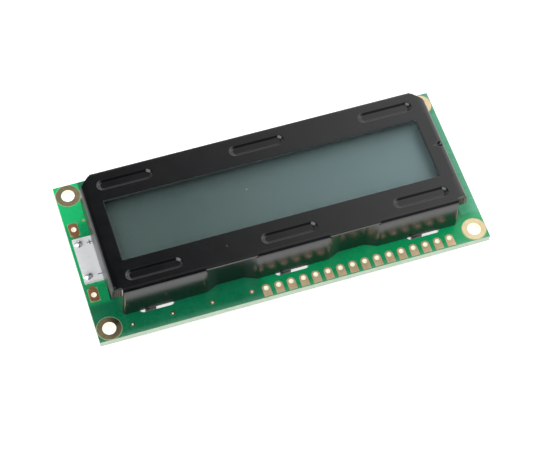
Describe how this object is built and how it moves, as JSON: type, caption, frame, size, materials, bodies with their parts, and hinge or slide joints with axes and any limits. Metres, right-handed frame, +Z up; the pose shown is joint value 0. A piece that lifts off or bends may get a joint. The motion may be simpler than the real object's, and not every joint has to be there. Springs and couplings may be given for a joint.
{
  "type": "character lcd module",
  "caption": "Flat green circuit board under a black sheet-steel bezel with a grey-green text display window and a white backlight tab.",
  "frame": {"origin": "middle of the board's outline in plan, on the surface that the bezel's tab ends stand on", "axes": "+Z up, out of the display window; +X along the rows of characters; -Y towards the edge with the interface holes"},
  "size_m": [0.08, 0.036, 0.0124],
  "materials": {
    "solder_mask": "glossy green solder mask over woven glass laminate",
    "plated_copper": "thin gold plating over copper",
    "black_paint": "satin-gloss black over pressed steel",
    "polariser_film": "grey-green polarising film, smooth",
    "clear_glass": "polished",
    "seal_resin": "cured resin",
    "reflective_film": "part-mirror polarising film",
    "zebra_rubber": "silicone rubber layered with carbon",
    "white_plastic": "moulded white plastic",
    "clear_acrylic": "clear light guide",
    "white_film": "matt white film",
    "white_mask": "white solder mask",
    "lamp_resin": "lamp chips in clear resin",
    "solder": "bright solder",
    "silicon": "bare silicon",
    "black_epoxy": "poured black epoxy",
    "resistor_body": "black glazed chip with tinned ends",
    "capacitor_body": "tan ceramic chip with tinned ends"
  },
  "bodies": {
    "root": {"circuit_board": "solder_mask", "mounting_lands": "plated_copper", "pin_lands": "plated_copper", "backlight_lands": "plated_copper", "via_rings": "plated_copper", "contact_fingers": "plated_copper", "bezel_frame": "black_paint", "front_polariser": "polariser_film", "upper_glass": "clear_glass", "cell_seal": "seal_resin", "fill_port_plug": "seal_resin", "lower_glass": "clear_glass", "rear_polariser": "reflective_film", "zebra_strip_front": "zebra_rubber", "zebra_strip_rear": "zebra_rubber", "backlight_frame": "white_plastic", "light_guide": "clear_acrylic", "diffuser_film": "white_film", "reflector_film": "white_film", "lamp_board": "white_mask", "lamp_chips": "lamp_resin", "positive_joint": "solder", "negative_joint": "solder", "controller_die": "silicon", "controller_blob": "black_epoxy", "driver_die": "silicon", "driver_blob": "black_epoxy", "bias_resistors": "resistor_body", "clock_resistor": "resistor_body", "lamp_resistors": "resistor_body", "filter_capacitors": "capacitor_body"}
  },
  "joints": []
}
